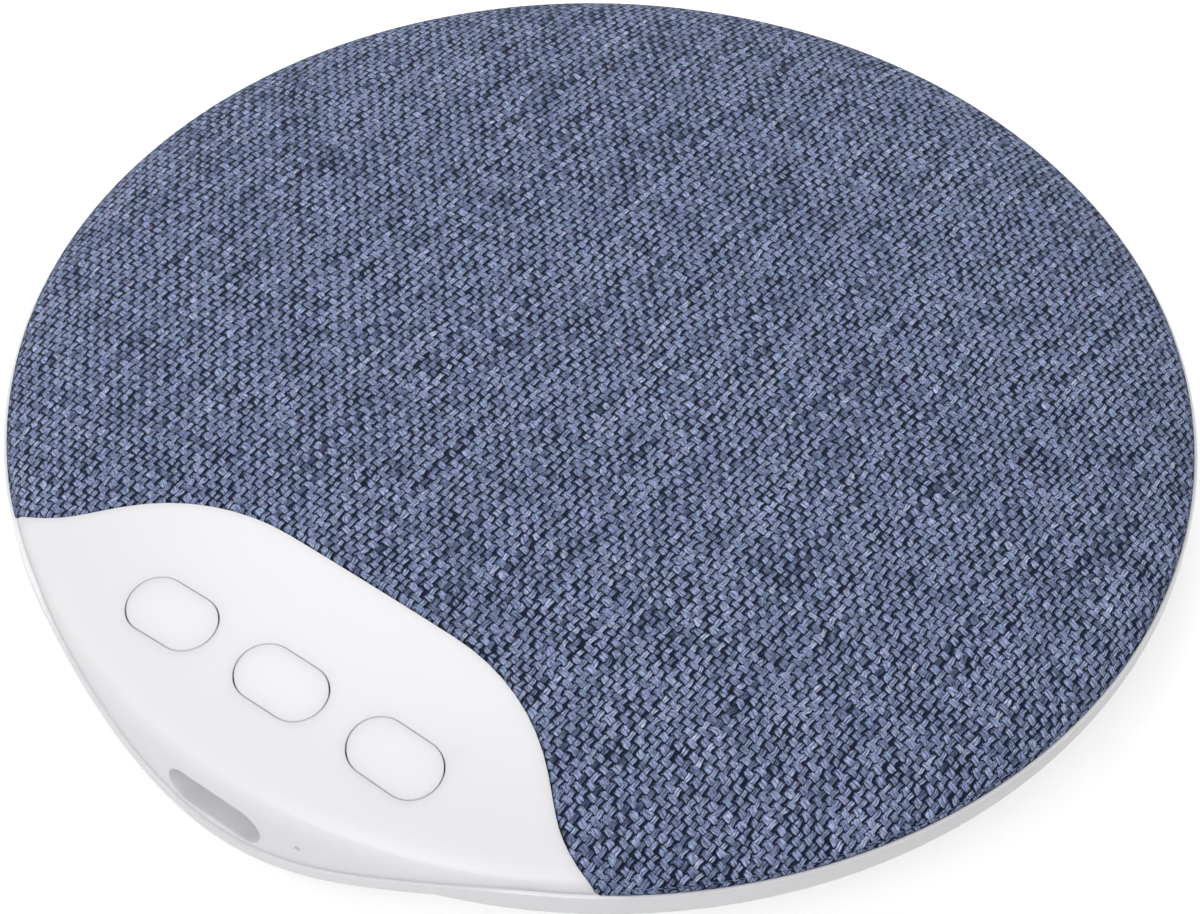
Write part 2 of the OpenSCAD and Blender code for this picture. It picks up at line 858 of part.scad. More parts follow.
module driver_magnet() {
    color("silver") on_driver() disc_at(6.2, 3.8, 2);
}

module driver_pole_plate() {
    color(steel) on_driver() rotate_extrude()
        polygon([[0, 5.8], [6.5, 5.8], [6.5, 6.6], [6.3, 6.8], [0, 6.8]]);
}

module driver_voice_coil() {
    color("peru") on_driver() rotate_extrude()
        polygon([[coil_in_r, 5], [coil_out_r, 5], [coil_out_r, 7.2], [7, 7.2], [7, 8.8],
            [coil_in_r, 8.8]]);
}

// Waved cloth disc that centres the coil
module driver_spider() {
    r_in = 7.02;
    r_out = 12.6;
    t = 0.2;
    waves = 4;
    span = r_out - 0.8 - r_in;
    wave = [for (i = [0 : 32]) [r_in + span * i / 32, 8 + 0.3 * sin(360 * waves * i / 32)]];
    color("goldenrod") on_driver() rotate_extrude()
        polygon(concat([for (p = wave) [p[0], p[1] - t / 2]], [[r_out, 8 - t / 2]],
            [[r_out, 8 + t / 2]], [for (i = [32 : -1 : 0]) [wave[i][0], wave[i][1] + t / 2]]));
}

// Shallow curved cone from the coil's neck to the surround
module driver_cone() {
    t = 0.3;
    r_in = 7.02;
    r_out = 14.2;
    curve = [for (i = [0 : 10]) let (u = i / 10)
        [r_in + (r_out - r_in) * u, 8.5 + 1.5 * pow(u, 0.85)]];
    color("dimgray") on_driver() rotate_extrude()
        polygon(concat(curve, [for (i = [10 : -1 : 0]) [curve[i][0], curve[i][1] + t]]));
}

// Half roll that hangs down between the cone and the flange
module driver_surround() {
    t = 0.25;
    z = flange_z + 0.7;
    mid = 15.3;
    roll = 0.8;
    color("black") on_driver() rotate_extrude()
        polygon(concat([[13.3, z], [13.3, z + t], [mid - roll + t, z + t]],
            [for (a = [180 : 15 : 360]) [mid + (roll - t) * cos(a), z + t + (roll - t) * sin(a)]],
            [[17.4, z + t], [17.4, z]],
            [for (a = [360 : -15 : 180]) [mid + roll * cos(a), z + roll * sin(a)]]));
}

module driver_dust_cap() {
    t = 0.25;
    rim = 8.4;
    seat = 8.5 + 1.5 * pow((rim - 7.02) / 7.18, 0.85) + 0.3;
    dome = [for (i = [0 : 8]) let (a = 90 - 10 * i)
        [rim * cos(a) / cos(10), seat + 1.1 * (sin(a) - sin(10))]];
    color("black") on_driver() rotate_extrude()
        polygon(concat([[0, dome[0][1] - t]],
            [for (i = [1 : 8]) [max(dome[i][0] - t, 0.1), dome[i][1] - t * sin(90 - 10 * i)]],
            [dome[8]], [for (i = [7 : -1 : 0]) dome[i]]));
}

module driver_gasket() {
    color("dimgray") on_driver() ring_at(17.6, driver_r, flange_z + 1, frame_under_z - flange_z - 1);
}

module driver_terminal() {
    color("sienna") {
        translate([terminal_x, driver_y - 3.5, terminal_z - 0.4]) difference() {
            cube([4.2, 7, 0.8]);
            translate([-terminal_x, 3.5, -1]) cylinder(r = 17.22, h = 3);
        }
    }
}

// Fasteners

module shell_screws() {
    color(steel) at_each(posts) screw_up(ring_t + head_h + 0.1, 6.5);
}

module board_screws() {
    color(steel) at_each(bosses) {
        disc_at(head_r, board_top, head_h);
        disc_at(screw_r, board_top - 4.6, 4.61);
    }
}

module panel_screws() {
    color(steel) at_each(panel_screw_at) {
        disc_at(2.6, tongue_z - 0.5, 0.5);
        screw_up(tongue_z - 0.49, 2.6);
    }
}

module driver_screws() {
    color(steel) on_driver() driver_bosses() {
        disc_at(2.3, flange_z - 0.5, 0.5);
        screw_up(flange_z - 0.49, 2.6);
    }
}

bottom_shell();
foot_ring();
control_panel();
fabric_cover();
foam_pad();
grille_frame();
button_cap(button_x[0]);  // volume_down_button
button_cap(button_x[1]);  // play_button
button_cap(button_x[2]);  // volume_up_button
switch_plunger(button_x[0]);  // volume_down_plunger
switch_plunger(button_x[1]);  // play_plunger
switch_plunger(button_x[2]);  // volume_up_plunger
switch_case(button_x[0]);  // volume_down_switch
switch_case(button_x[1]);  // play_switch
switch_case(button_x[2]);  // volume_up_switch
main_board();
usb_socket();
usb_tongue();
usb_contacts();
chip(-7.2, -41, 6, 6, 0.9);  // bluetooth_chip
chip(-13.4, -41.3, 3.2, 2.5, 0.7);  // clock_crystal
chip(7.2, -41.1, 4, 4, 0.9);  // amplifier_chip
chip(-19.5, -41, 3, 3, 0.8);  // charger_chip
board_inductors();
board_capacitors();
chip(-23, -46.8, 1.6, 3.2, 0.6);  // chip_antenna
status_led();
lead_socket(1);  // battery_socket
lead_plug(1);  // battery_plug
lead_socket(-1);  // speaker_socket
lead_plug(-1);  // speaker_plug
microphone();
microphone_boot();
microphone_leads();
battery_cell();
battery_board();
battery_tape();
battery_lead_red();
battery_lead_black();
speaker_lead_red();
speaker_lead_black();
driver_basket();
driver_yoke();
driver_magnet();
driver_pole_plate();
driver_voice_coil();
driver_spider();
driver_cone();
driver_surround();
driver_dust_cap();
driver_gasket();
driver_terminal();
shell_screws();
board_screws();
panel_screws();
driver_screws();
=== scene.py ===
# %% [markdown]
# # Pillow speaker
# The object is a flat disc with a crowned top under stretched blue cloth, a white
# panel with three push buttons, and a deeper white front wall with a charging slot.
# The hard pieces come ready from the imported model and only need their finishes.
# The soft ones, the cloth and the foam under it, are modelled here, because cloth
# needs a form and a weave that a CAD solid cannot give.

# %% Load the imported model
import bisect
import json
import math

import bmesh
import bpy
from mathutils import Matrix, Vector


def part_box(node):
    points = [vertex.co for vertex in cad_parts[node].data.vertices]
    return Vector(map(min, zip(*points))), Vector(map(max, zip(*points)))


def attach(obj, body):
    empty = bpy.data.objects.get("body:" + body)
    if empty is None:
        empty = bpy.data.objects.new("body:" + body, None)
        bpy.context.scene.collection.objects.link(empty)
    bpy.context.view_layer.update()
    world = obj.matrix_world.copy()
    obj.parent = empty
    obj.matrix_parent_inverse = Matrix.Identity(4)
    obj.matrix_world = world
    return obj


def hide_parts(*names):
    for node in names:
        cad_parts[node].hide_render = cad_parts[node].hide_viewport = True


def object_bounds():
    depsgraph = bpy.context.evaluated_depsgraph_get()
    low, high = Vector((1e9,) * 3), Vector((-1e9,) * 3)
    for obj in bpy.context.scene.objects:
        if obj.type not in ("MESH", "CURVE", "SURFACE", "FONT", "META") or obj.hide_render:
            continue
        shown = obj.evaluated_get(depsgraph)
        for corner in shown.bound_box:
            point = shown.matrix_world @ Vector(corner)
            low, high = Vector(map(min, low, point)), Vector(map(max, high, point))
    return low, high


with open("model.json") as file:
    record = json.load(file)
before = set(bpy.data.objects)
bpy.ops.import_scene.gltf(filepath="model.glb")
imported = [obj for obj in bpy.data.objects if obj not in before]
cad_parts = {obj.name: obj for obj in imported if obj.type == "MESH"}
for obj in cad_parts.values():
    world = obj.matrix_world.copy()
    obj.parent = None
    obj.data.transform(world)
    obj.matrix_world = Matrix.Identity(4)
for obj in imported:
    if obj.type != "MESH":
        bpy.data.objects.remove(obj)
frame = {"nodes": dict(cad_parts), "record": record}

nodes = frame["nodes"]
cad_low, cad_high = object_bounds()
MM = 0.001
print("model box, mm:", [round(v / MM, 2) for v in (*cad_low, *cad_high)])

# %% [markdown]
# ## Sizes
# The cloth has to lie exactly where the model's plain cloth solid lies, so its few
# driving sizes are repeated here in metres, and the model's own boxes are printed.

# %% Sizes of the crown and of the gap beside the panel
RIM_Z = 10 * MM
CROWN_R, CROWN_H = 57.2 * MM, 5.6 * MM
CROWN_WIDTH_EXP, CROWN_RISE_EXP = 2.9, 1.9
SEAM_GAP = 0.1 * MM
cloth_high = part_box("fabric_cover")[1]
print("cloth reaches", round(cloth_high[2] / MM, 2), "mm high and",
      round(cloth_high[0] / MM, 2), "mm out")


def crown_z(r):
    """Height of the crown's surface at a distance r from the middle."""
    q = max(0.0, 1 - (min(r, CROWN_R) / CROWN_R) ** CROWN_WIDTH_EXP)
    return RIM_Z + CROWN_H * q ** (1 / CROWN_RISE_EXP)


# %% [markdown]
# ## Reading maths as nodes
# Patterns such as a weave are sums of waves and noises. Written as Math nodes one by
# one they fill pages, so a small wrapper lets a socket be added, multiplied and
# compared as if it were a number. Every operation still becomes an ordinary node.

# %% A socket that can be calculated with
class Field:
    """A value or vector socket of a node tree, with arithmetic."""

    def __init__(self, tree, socket):
        self.tree, self.socket = tree, socket

    def _math(self, operation, *others):
        node = self.tree.nodes.new("ShaderNodeMath")
        node.operation = operation
        for i, value in enumerate((self, *others)):
            if isinstance(value, Field):
                self.tree.links.new(value.socket, node.inputs[i])
            else:
                node.inputs[i].default_value = value
        return Field(self.tree, node.outputs[0])

    def __add__(self, other): return self._math("ADD", other)
    def __sub__(self, other): return self._math("SUBTRACT", other)
    def __mul__(self, other): return self._math("MULTIPLY", other)
    def __truediv__(self, other): return self._math("DIVIDE", other)
    def floor(self): return self._math("FLOOR")
    def fract(self): return self._math("FRACT")
    def cos(self): return self._math("COSINE")
    def root(self): return self._math("SQRT")
    def size(self): return self._math("ABSOLUTE")
    def most(self, other): return self._math("MAXIMUM", other)
    def above(self, other): return self._math("GREATER_THAN", other)
    def wrap(self, top, low=0.0): return self._math("WRAP", top, low)

    def remap(self, low, high, to_low=0.0, to_high=1.0, smooth=True):
        """The value moved from one range to another, and held inside it."""
        node = self.tree.nodes.new("ShaderNodeMapRange")
        node.interpolation_type = "SMOOTHSTEP" if smooth else "LINEAR"
        self.tree.links.new(self.socket, node.inputs["Value"])
        for name, value in zip(("From Min", "From Max", "To Min", "To Max"),
                               (low, high, to_low, to_high)):
            node.inputs[name].default_value = value
        return Field(self.tree, node.outputs["Result"])


print("sockets can be added, multiplied and compared")


# %% Helpers: points, noises and mixed colours
def point(tree, x, y, z=0.0):
    """A vector from three numbers or fields."""
    node = tree.nodes.new("ShaderNodeCombineXYZ")
    for i, value in enumerate((x, y, z)):
        if isinstance(value, Field):
            tree.links.new(value.socket, node.inputs[i])
        else:
            node.inputs[i].default_value = value
    return Field(tree, node.outputs[0])


def split(field):
    """The three numbers of a vector."""
    node = field.tree.nodes.new("ShaderNodeSeparateXYZ")
    field.tree.links.new(field.socket, node.inputs[0])
    return [Field(field.tree, out) for out in node.outputs]


def noise(where, scale, detail=2.0, rough=0.5):
    """Smooth random value, about 0 to 1, at a vector."""
    node = where.tree.nodes.new("ShaderNodeTexNoise")
    where.tree.links.new(where.socket, node.inputs["Vector"])
    node.inputs["Scale"].default_value = scale
    node.inputs["Detail"].default_value = detail
    node.inputs["Roughness"].default_value = rough
    return Field(where.tree, node.outputs[0])


def blend(tree, share, first, second, kind="MIX"):
    """Mix of two colours, each a tuple or a field."""
    node = tree.nodes.new("ShaderNodeMix")
    node.data_type, node.blend_type, node.clamp_factor = "RGBA", kind, True
    colours = [s for s in node.inputs if s.type == "RGBA"]
    for socket, value in zip((node.inputs["Factor"], *colours), (share, first, second)):
        if isinstance(value, Field):
            tree.links.new(value.socket, socket)
        else:
            socket.default_value = value if isinstance(value, float) else (*value, 1)
    return Field(tree, next(s for s in node.outputs if s.type == "RGBA"))


print("points, noises and mixes ready")

# %% [markdown]
# ## Shared effects
# Two groups carry what finishes share. "Moulded surface" gives a plastic or metal its
# faint unevenness. "Plain weave" draws two sets of two-ply yarns that pass over and
# under each other. A picture of cloth would repeat and blur; a calculated one doesn't.
# It puts out a height for the bump, the tone and streaks of the yarn on top, and the
# values that place painted shade in the gaps and on the yarns' sides.

# %% Group: the faint unevenness of a moulded or pressed surface
SOCKET_KINDS = {"v": "NodeSocketVector", "f": "NodeSocketFloat", "c": "NodeSocketColor"}


def new_group(name, inputs, outputs):
    """A node group with named sockets; v is a vector, f a number and c a colour."""
    group = bpy.data.node_groups.new(name, "ShaderNodeTree")
    for title, kind, *value in inputs:
        socket = group.interface.new_socket(title, in_out="INPUT",
                                            socket_type=SOCKET_KINDS[kind])
        if value:
            socket.default_value = value[0]
    for title, kind in outputs:
        group.interface.new_socket(title, in_out="OUTPUT",
                                   socket_type=SOCKET_KINDS[kind])
    inside, outside = (group.nodes.new(kind) for kind in ("NodeGroupInput",
                                                          "NodeGroupOutput"))
    return group, inside, outside


CLOUDS_PER_METRE, CLOUD_EDGES, CLOUD_GAIN = 60.0, (0.3, 0.75), 4.0
SHADED = (0.75, 0.75, 0.76)


def make_moulded_surface():
    """Slow clouds in the tone and the gloss, with a fine grain over them."""
    group, inside, outside = new_group(
        "Moulded surface",
        [("Position", "v"), ("Colour", "c"), ("Tone change", "f", 0.03),
         ("Grain per mm", "f", 4.0), ("Roughness", "f", 0.4), ("Rub", "f", 0.05)],
        [("Colour", "c"), ("Roughness", "f"), ("Height", "f")])
    socket = {s.name: Field(group, s) for s in inside.outputs if s.name}
    place = socket["Position"]
    cloud = noise(place, CLOUDS_PER_METRE, 3.0)
    grain_scale = socket["Grain per mm"] * (1 / MM)
    fine = noise(place, 1.0, 2.0)
    group.links.new(grain_scale.socket, fine.socket.node.inputs["Scale"])
    darker = blend(group, 1.0, socket["Colour"], SHADED, "MULTIPLY")
    share = cloud.remap(*CLOUD_EDGES) * socket["Tone change"] * CLOUD_GAIN
    tinted = blend(group, share, socket["Colour"], darker)
    rub = socket["Rub"]
    rough = socket["Roughness"] + (fine - 0.5) * rub + (cloud - 0.5) * rub
    for value, name in ((tinted, "Colour"), (rough, "Roughness"), (fine, "Height")):
        group.links.new(value.socket, outside.inputs[name])
    return group


moulded_surface = make_moulded_surface()
print("made group", moulded_surface.name)


# %% One set of yarns
WARP_PITCH, WEFT_PITCH = 0.77, 0.83     # mm from yarn to yarn
RIDE, YARN_ROUND, BESIDE = 0.5, 0.45, 2.0     # rise of a crossing, a yarn and a gap
SLUB_STEP, SLUB_RUN, FLECK_RUN, FLECK_SHARE = 0.9, 0.05, 0.6, 0.45
FIBRES_ACROSS, FIBRE_SHIFT, FIBRE_RUN = 7.0, 3.7, 1.3


def round_over(part):
    """Height of a round yarn at a part of its half width."""
    return (part * part * -1.0 + 1.0).most(0.0).root()


def yarn(group, across, wave, number, along, half_w, ply_share, seed, drift):
    """Height, roundness, tone and streaks of one set of yarns.

    across runs from -0.5 to 0.5 over one pitch, and wave says how high the yarn rides.
    half_w is half the yarn's width and ply_share how clearly its two plies show.
    drift is how much the tone changes from yarn to yarn.
    """
    part = across.size() / half_w
    body = round_over(part) * (1.0 - ply_share) + round_over(part * 2.0 - 1.0) * ply_share
    height = wave * RIDE + body * YARN_ROUND - part.above(1.0) * BESIDE
    yarn_at = number * SLUB_STEP + seed
    slub = noise(point(group, yarn_at, along * SLUB_RUN, seed), 1.0, 3.0, 0.6) - 0.5
    fleck = noise(point(group, yarn_at, along * FLECK_RUN, seed), 1.0, 2.0) - 0.5
    tone = slub * drift + fleck * FLECK_SHARE + 0.5
    fibre_at = across * FIBRES_ACROSS + number * FIBRE_SHIFT
    streak = noise(point(group, fibre_at, along * FIBRE_RUN, seed), 1.0, 1.0)
    return height, body, tone, streak


print("yarns every", WARP_PITCH, "and", WEFT_PITCH, "mm")


# %% Group: plain weave of two-ply yarns
YARN_WANDER, YARN_JITTER, JITTER_SCALE = 1.3, 0.35, 1.2
WARP = {"half_w": 0.28, "ply_share": 0.85, "seed": 2.0, "drift": 1.5}
WEFT = {"half_w": 0.43, "ply_share": 0.72, "seed": 71.0, "drift": 0.8}
# The two shifts set the yarns off the middle of their cells, so that the gap and its
# painted shade lie wider on one side of each yarn, as shadow from a light at the back left
# would.
WARP_SHIFT, WEFT_SHIFT, WEFT_LEAN = 0.13, 0.1, 0.24
ALONG, ACROSS = 0.1, 0.3     # a yarn changes slowly along itself, faster sideways
LOOSE_ACROSS, LOOSE_ALONG, TINT_SCALE = 0.7, 0.3, 0.45


def wander(group, x, y, seed, scale, detail, most):
    """A slow sideways shift, to both sides of 0; the seed gives each its own noise."""
    return (noise(point(group, x, y, seed), scale, detail) - 0.5) * most


def make_plain_weave():
    """Warp and weft on one sheet, with what lies on top at each place."""
    names = ("Height", "Round", "Tone", "Streak", "Tint", "Loose gap shade")
    group, inside, outside = new_group("Plain weave", [("Cloth mm", "v")],
                                       [(name, "f") for name in names])
    u, v, _ = split(Field(group, inside.outputs[0]))
    wander_u = wander(group, u * ACROSS, v * ALONG, 3.0, 1.0, 2.0, YARN_WANDER)
    wander_v = wander(group, u * ALONG, v * ACROSS, 9.0, 1.0, 2.0, YARN_WANDER)
    jitter_u = wander(group, u, v, 21.0, JITTER_SCALE, 1.0, YARN_JITTER)
    jitter_v = wander(group, u, v, 33.0, JITTER_SCALE, 1.0, YARN_JITTER)
    warp_at = (u + wander_u + jitter_u) / WARP_PITCH
    weft_at = (v + wander_v + jitter_v) / WEFT_PITCH
    warp_no, weft_no = warp_at.floor(), weft_at.floor()
    warp_in, weft_in = warp_at.fract() - 0.5, weft_at.fract() - 0.5
    parity = (warp_no + weft_no).wrap(2.0).above(0.5) * 2.0 - 1.0
    warp = yarn(group, warp_in + WARP_SHIFT, parity * (weft_in * math.pi).cos(),
                warp_no, weft_at, **WARP)
    weft = yarn(group, weft_in + warp_in * WEFT_LEAN - WEFT_SHIFT,
                parity * (warp_in * math.pi).cos() * -1.0, weft_no, warp_at, **WEFT)
    over = warp[0].above(weft[0])
    on_top = [f + (w - f) * over for w, f in zip(warp, weft)]
    tint = noise(point(group, u, v, 51.0), TINT_SCALE, 2.0)
    # Looser places only deepen the painted shade in the gaps; the yarns themselves don't
    # move.
    loose_gap_shade = noise(point(group, u * LOOSE_ACROSS, v * LOOSE_ALONG, 87.0), 1.0, 2.0)
    for value, name in zip((*on_top, tint, loose_gap_shade), names):
        group.links.new(value.socket, outside.inputs[name])
    return group


plain_weave = make_plain_weave()
print("made group", plain_weave.name, "with", len(plain_weave.nodes), "nodes")


# %% [markdown]
# ## Finishes
# Each material starts from one Principled shader. Constants are set on its own
# sockets, and only what changes over the surface comes through nodes. Every hard
# part is moulded, pressed or plated, so one helper with its own numbers serves all.

# %% Helper: a material with its shader and its place in the object
def new_material(name, **settings):
    """A material with constants on its shader's own sockets."""
    material = bpy.data.materials.new(name)
    material.use_nodes = True
    tree = material.node_tree
    shader = tree.nodes["Principled BSDF"]
    for title, value in settings.items():
        shader.inputs[title.replace("_", " ")].default_value = value
    coordinates = tree.nodes.new("ShaderNodeTexCoord")
    return material, tree, shader, coordinates


def bump(tree, shader, height, strength, distance):
    """Relief on the shader from a height; distance is its depth in metres."""
    node = tree.nodes.new("ShaderNodeBump")
    node.inputs["Strength"].default_value = strength
    node.inputs["Distance"].default_value = distance
    tree.links.new(height.socket, node.inputs["Height"])
    tree.links.new(node.outputs[0], shader.inputs["Normal"])


MOULDED_BUMP = 0.5


def moulded(name, colour, roughness=0.4, tone=0.02, grain=5.0, rub=0.05,
            relief=0.004 * MM, **settings):
    """A moulded, pressed or cast finish from the shared group."""
    material, tree, shader, coordinates = new_material(name, **settings)
    node = tree.nodes.new("ShaderNodeGroup")
    node.node_tree = moulded_surface
    tree.links.new(coordinates.outputs["Object"], node.inputs["Position"])
    node.inputs["Colour"].default_value = (*colour, 1)
    for title, value in (("Tone change", tone), ("Grain per mm", grain),
                         ("Roughness", roughness), ("Rub", rub)):
        node.inputs[title].default_value = value
    tree.links.new(node.outputs["Colour"], shader.inputs["Base Color"])
    tree.links.new(node.outputs["Roughness"], shader.inputs["Roughness"])
    bump(tree, shader, Field(tree, node.outputs["Height"]), MOULDED_BUMP, relief)
    return material


print("moulded, pressed and plated finishes ready")

# %% [markdown]
# ## The white casing and the parts inside
# The casing is the piece that shows: a cool white plastic with a satin gloss, into
# which a little light sinks, so that its rounded edges stay soft. A plain white would
# look like paper. The parts inside are told apart by colour, gloss and grain.

# %% The white casing and the finishes of the parts inside
# Each has its title, colour, roughness, tone change, grain per mm, rub and relief.
COOL_WHITE = (0.9, 0.893, 0.925)
GLOW_THROUGH = {"Subsurface_Weight": 0.5, "Subsurface_Radius": (1.0, 1.0, 1.0),
                "Subsurface_Scale": 2.0 * MM}
METAL = {"Metallic": 1.0}
finishes = {
    "casing_white": moulded("Satin white casing", COOL_WHITE, 0.34, 0.004, 3.0, 0.04,
                            0.002 * MM, **GLOW_THROUGH),
    "silicone": moulded("Grey foot rubber", (0.42, 0.43, 0.45), 0.65, 0.05, 6.0),
    "frame_plastic": moulded("Dark frame plastic", (0.025, 0.026, 0.03), 0.5, 0.06, 8.0),
    "soft_rubber": moulded("Black rubber", (0.02, 0.02, 0.021), 0.7, 0.05, 8.0),
    "steel": moulded("Pressed steel", (0.6, 0.6, 0.61), 0.3, 0.05, 9.0, 0.1, **METAL),
    "circuit_board": moulded("Solder mask", (0.012, 0.11, 0.05), 0.35, 0.1, 4.0),
    "chip_plastic": moulded("Chip package", (0.02, 0.02, 0.022), 0.55, 0.05, 12.0),
    "connector_plastic": moulded("Natural nylon", (0.8, 0.76, 0.62), 0.45, 0.04, 6.0),
    "magnet": moulded("Nickel plate", (0.65, 0.64, 0.62), 0.18, 0.03, 6.0, **METAL),
    "contact_metal": moulded("Gold plate", (0.9, 0.65, 0.25), 0.25, 0.03, 6.0, **METAL),
    "cell_foil": moulded("Pouch foil", (0.7, 0.71, 0.73), 0.28, 0.08, 2.0, 0.12,
                         0.02 * MM, **METAL),
    "coil": moulded("Enamelled wire", (0.5, 0.2, 0.07), 0.3, 0.2, 10.0, Metallic=0.8),
    "cone_paper": moulded("Coated paper cone", (0.03, 0.03, 0.034), 0.75, 0.2, 5.0),
    "spider_cloth": moulded("Resin treated cloth", (0.5, 0.32, 0.09), 0.8, 0.2, 7.0),
    "tape": moulded("Foam tape", (0.72, 0.68, 0.55), 0.8, 0.1, 5.0),
    "lead_red": moulded("Red lead", (0.45, 0.02, 0.015), 0.4, 0.05, 5.0),
    "lead_black": moulded("Black lead", (0.015, 0.015, 0.016), 0.4, 0.05, 5.0),
    "screw_steel": moulded("Zinc plated screws", (0.5, 0.5, 0.52), 0.35, 0.1, 9.0,
                           **METAL),
    "foam": moulded("Open foam", (0.03, 0.03, 0.034), 0.95, 0.3, 1.5, 0.05, 0.3 * MM),
}
slot_of = {row["node"]: row["material_slot"] for row in frame["record"]["subparts"]}
for name, obj in nodes.items():
    finish = finishes.get(slot_of[name])
    if finish is None:
        continue
    obj.data.materials.clear()
    obj.data.materials.append(finish)
print(len(finishes), "finishes put on", len(nodes), "nodes")


# %% [markdown]
# ## The cloth's finish
# The real cloth is a melange: each yarn is spun from pale, mid and dark blue fibres,
# so its tone drifts along its length and some stretches are nearly black. The weave
# group supplies the tone of each yarn; here it is turned into colours, darkened with
# painted shade in the gaps and on the yarns' rounded sides, and given the dull sheen
# of short fibres. The pattern reads the cloth's own flat coordinates, so it follows
# the stretched surface as real yarns do.

# %% Helpers: a colour ramp and a vector or colour made larger
def ramp(tree, value, stops):
    """Colours by a value, from pairs of a place and a colour."""
    node = tree.nodes.new("ShaderNodeValToRGB")
    tree.links.new(value.socket, node.inputs[0])
    elements = node.color_ramp.elements
    while len(elements) < len(stops):
        elements.new(0.5)
    for element, (at, colour) in zip(elements, stops):
        element.position, element.color = at, (*colour, 1)
    return Field(tree, node.outputs[0])


def scaled(tree, field, factor):
    """A vector or colour times a number or a field."""
    node = tree.nodes.new("ShaderNodeVectorMath")
    node.operation = "SCALE"
    tree.links.new(field.socket, node.inputs[0])
    if isinstance(factor, Field):
        tree.links.new(factor.socket, node.inputs["Scale"])
    else:
        node.inputs["Scale"].default_value = factor
    return Field(tree, node.outputs[0])


# %% Material: blue melange cloth
# Each stop is a tone of the yarn and the colour it gets there.
MELANGE = [(0.22, (0.06, 0.078, 0.155)), (0.36, (0.145, 0.18, 0.31)),
           (0.5, (0.253, 0.303, 0.495)), (0.64, (0.335, 0.39, 0.6)),
           (0.8, (0.46, 0.51, 0.71))]
TINTS = [(0.3, (1.05, 0.98, 1.02)), (0.5, (1.0, 1.0, 1.0)), (0.7, (0.94, 1.02, 0.99))]
# Painted shade: the yarn colour goes towards this dark navy in the gaps, on the yarns'
# rounded sides and in the groove between their plies, where shade would fall.
PAINTED_GAP_SHADE = (0.004, 0.009, 0.027)
STREAK_LIGHT = (0.3, 0.7, 0.48, 1.58)     # streak values, and how bright they make it
STREAK_ROUGH = (0.2, 0.8, 0.92, 0.72)     # pale streaks are a little glossier
# Where the painted shade sets in: by the weave's height and by how far across a yarn's
# round a place lies; the gain says how much looser places deepen it.
SLOT_SHADE_EDGE, YARN_SHADE_EDGE = (0.14, 0.64), (0.15, 0.75, 0.1, 1.0)
LOOSE_GAP_SHADE_GAIN, DEEPEST, FIBRE_RELIEF, RELIEF = 1.35, -0.6, 0.12, 0.25 * MM


def make_cloth_finish():
    """Weave yarn colours, painted shade in gaps and on yarn sides, and a dull sheen."""
    material, tree, shader, coordinates = new_material(
        "Blue melange cloth", Specular_IOR_Level=0.12, Sheen_Weight=0.06,
        Sheen_Roughness=0.5)
    node = tree.nodes.new("ShaderNodeGroup")
    node.node_tree = plain_weave
    in_mm = scaled(tree, Field(tree, coordinates.outputs["UV"]), 1 / MM)
    tree.links.new(in_mm.socket, node.inputs[0])
    out = {s.name: Field(tree, s) for s in node.outputs}
    colour = blend(tree, 1.0, ramp(tree, out["Tone"], MELANGE),
                   ramp(tree, out["Tint"], TINTS), "MULTIPLY")
    lit = scaled(tree, colour, out["Streak"].remap(*STREAK_LIGHT))
    # Painted shade: low or loose places in the weave and the yarns' rounded sides go
    # towards the dark gap colour.
    top = out["Height"] - (out["Loose gap shade"] - 0.5) * LOOSE_GAP_SHADE_GAIN
    kept = top.remap(*SLOT_SHADE_EDGE) * out["Round"].remap(*YARN_SHADE_EDGE)
    shaded = blend(tree, kept, PAINTED_GAP_SHADE, lit)
    tree.links.new(shaded.socket, shader.inputs["Base Color"])
    tree.links.new(out["Streak"].remap(*STREAK_ROUGH).socket, shader.inputs["Roughness"])
    relief = out["Height"].most(DEEPEST) + out["Streak"] * FIBRE_RELIEF
    bump(tree, shader, relief, 1.0, RELIEF)
    return material


cloth_finish = make_cloth_finish()
print("made", cloth_finish.name)


# %% [markdown]
# ## The edge of the cloth
# The cloth meets the panel along one curve: a straight crest, two shoulders, two
# straight ramps and two flares that run out to the rim. It is drawn once as arcs, as
# in the model. Seen from a point a little behind the middle, every ray crosses the
# cloth's edge once, so the whole cloth can be spun like a disc and then stretched.

# %% The panel's edge as arcs, and the cloth's edge seen from its centre
CREST_Y, CREST_HALF = -34.8 * MM, 9.5 * MM
SHOULDER_R, SHOULDER_TURN = 22 * MM, math.radians(43)
RAMP, FLARE_R, FLARE_END = 3.7 * MM, 10.8 * MM, math.radians(5)
RUN_OUT, ARC_STEPS = 12 * MM, 24
SPIN_CENTRE = Vector((0, 8 * MM))


def towards(angle):
    """Unit vector that turns from straight back to the right."""
    return Vector((math.sin(angle), math.cos(angle)))


def onwards(angle):
    """Unit vector along a line whose square side looks towards the angle."""
    return Vector((math.cos(angle), -math.sin(angle)))


def seam_points(offset):
    """Right half of the panel's edge, moved outwards by offset."""
    turn = SHOULDER_TURN
    shoulder = Vector((CREST_HALF, CREST_Y - SHOULDER_R))
    flare = (shoulder + SHOULDER_R * towards(turn) + RAMP * onwards(turn)
             + FLARE_R * towards(turn))
    points = [Vector((0, CREST_Y + offset))]
    for i in range(ARC_STEPS + 1):
        points.append(shoulder + (SHOULDER_R + offset) * towards(turn * i / ARC_STEPS))
    for i in range(ARC_STEPS + 1):
        a = turn + (FLARE_END - turn) * i / ARC_STEPS
        points.append(flare - (FLARE_R - offset) * towards(a))
    points.append(points[-1] + RUN_OUT * onwards(FLARE_END))
    return points


SEAM = seam_points(SEAM_GAP)
PARALLEL, NEARLY, TINY = 1e-12, 1e-6, 1e-9


def spoke(angle):
    """Unit vector from the spin centre; angle 0 looks ahead, at the panel."""
    return Vector((math.sin(angle), -math.cos(angle)))


